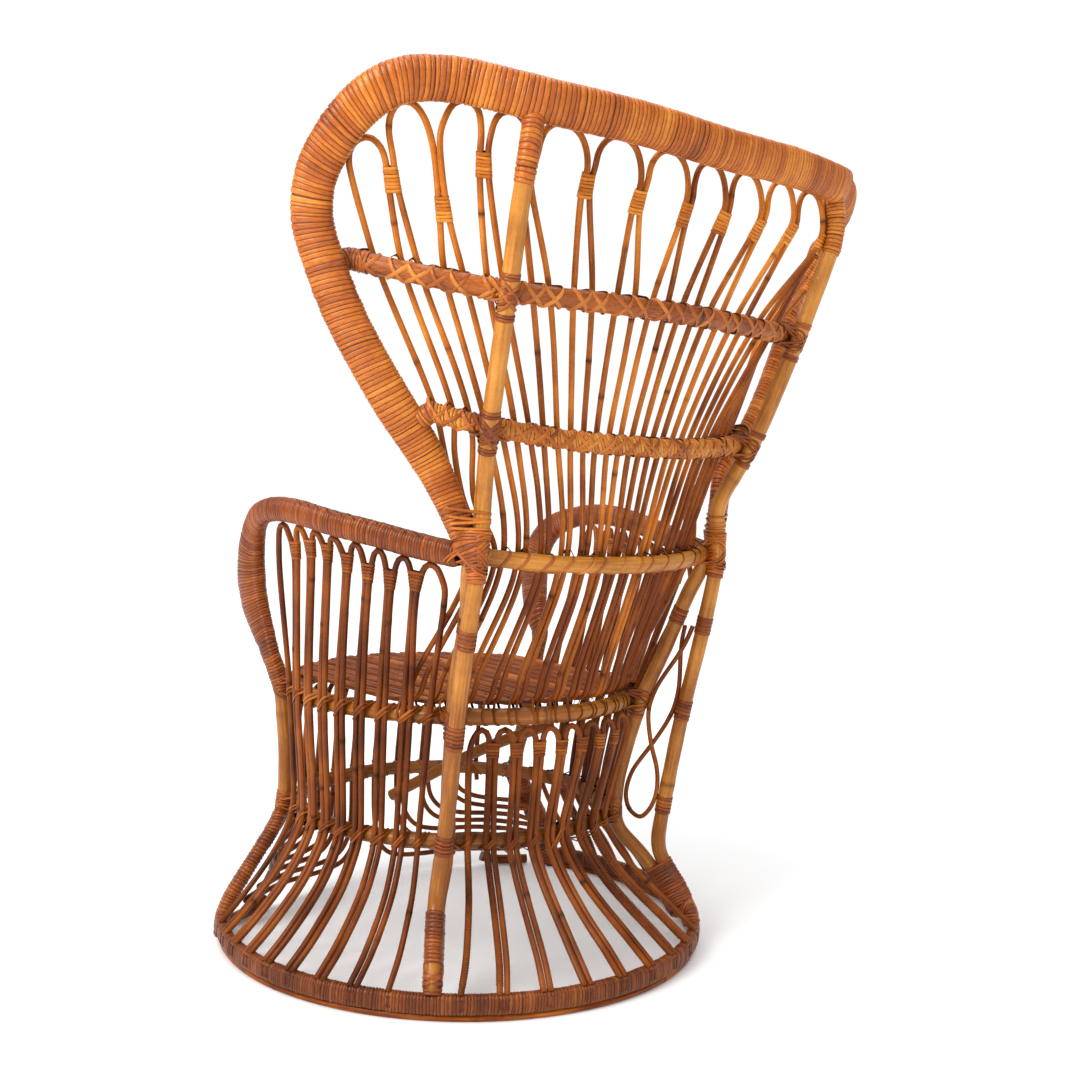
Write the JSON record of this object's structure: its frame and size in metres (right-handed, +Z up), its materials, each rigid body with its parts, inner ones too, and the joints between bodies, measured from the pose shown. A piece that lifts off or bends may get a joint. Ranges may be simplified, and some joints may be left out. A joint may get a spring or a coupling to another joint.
{
  "type": "rattan peacock armchair",
  "caption": "Rattan armchair with a tall flared and hooded fan back of arched canes, curved wrapped arms, a round cane seat and an hourglass cage base on a ring.",
  "frame": {"origin": "on the floor, under the middle of the chair's width and depth", "axes": "+Z up, the sitter faces -Y, +X to the sitter's left"},
  "size_m": [0.8938, 0.7657, 1.1158],
  "materials": {
    "peeled_pole": "satin varnish",
    "wrapped_bundle": "glossy varnish",
    "cane": "satin varnish"
  },
  "bodies": {
    "root": {"skid_hoop": "cane", "base_ring": "wrapped_bundle", "waist_ring": "peeled_pole", "seat_ring": "peeled_pole", "back_post_left": "peeled_pole", "back_post_right": "peeled_pole", "inner_leg_left": "peeled_pole", "inner_leg_right": "peeled_pole", "front_leg_left": "wrapped_bundle", "front_leg_right": "wrapped_bundle", "arm_left": "wrapped_bundle", "arm_right": "wrapped_bundle", "seat_brace": "peeled_pole", "head_rim": "wrapped_bundle", "upper_band": "wrapped_bundle", "middle_band": "wrapped_bundle", "lower_band": "peeled_pole", "back_loop_01": "cane", "back_loop_15": "cane", "back_loop_02": "cane", "back_loop_14": "cane", "back_loop_03": "cane", "back_loop_13": "cane", "back_loop_04": "cane", "back_loop_12": "cane", "back_loop_05": "cane", "back_loop_11": "cane", "back_loop_06": "cane", "back_loop_10": "cane", "back_loop_07": "cane", "back_loop_09": "cane", "back_loop_08": "cane", "side_loop_left_1": "cane", "side_loop_right_1": "cane", "side_loop_left_2": "cane", "side_loop_right_2": "cane", "side_loop_left_3": "cane", "side_loop_right_3": "cane", "side_loop_left_4": "cane", "side_loop_right_4": "cane", "side_loop_left_5": "cane", "side_loop_right_5": "cane", "side_loop_left_6": "cane", "side_loop_right_6": "cane", "side_loop_left_7": "cane", "side_loop_right_7": "cane", "side_loop_left_8": "cane", "side_loop_right_8": "cane", "skirt_loop_1": "cane", "skirt_loop_2": "cane", "skirt_loop_3": "cane", "skirt_loop_4": "cane", "skirt_loop_5": "cane", "skirt_loop_6": "cane", "skirt_loop_7": "cane", "skirt_loop_8": "cane", "front_fan": "cane", "figure_eight_left": "cane", "figure_eight_right": "cane"}
  },
  "joints": []
}
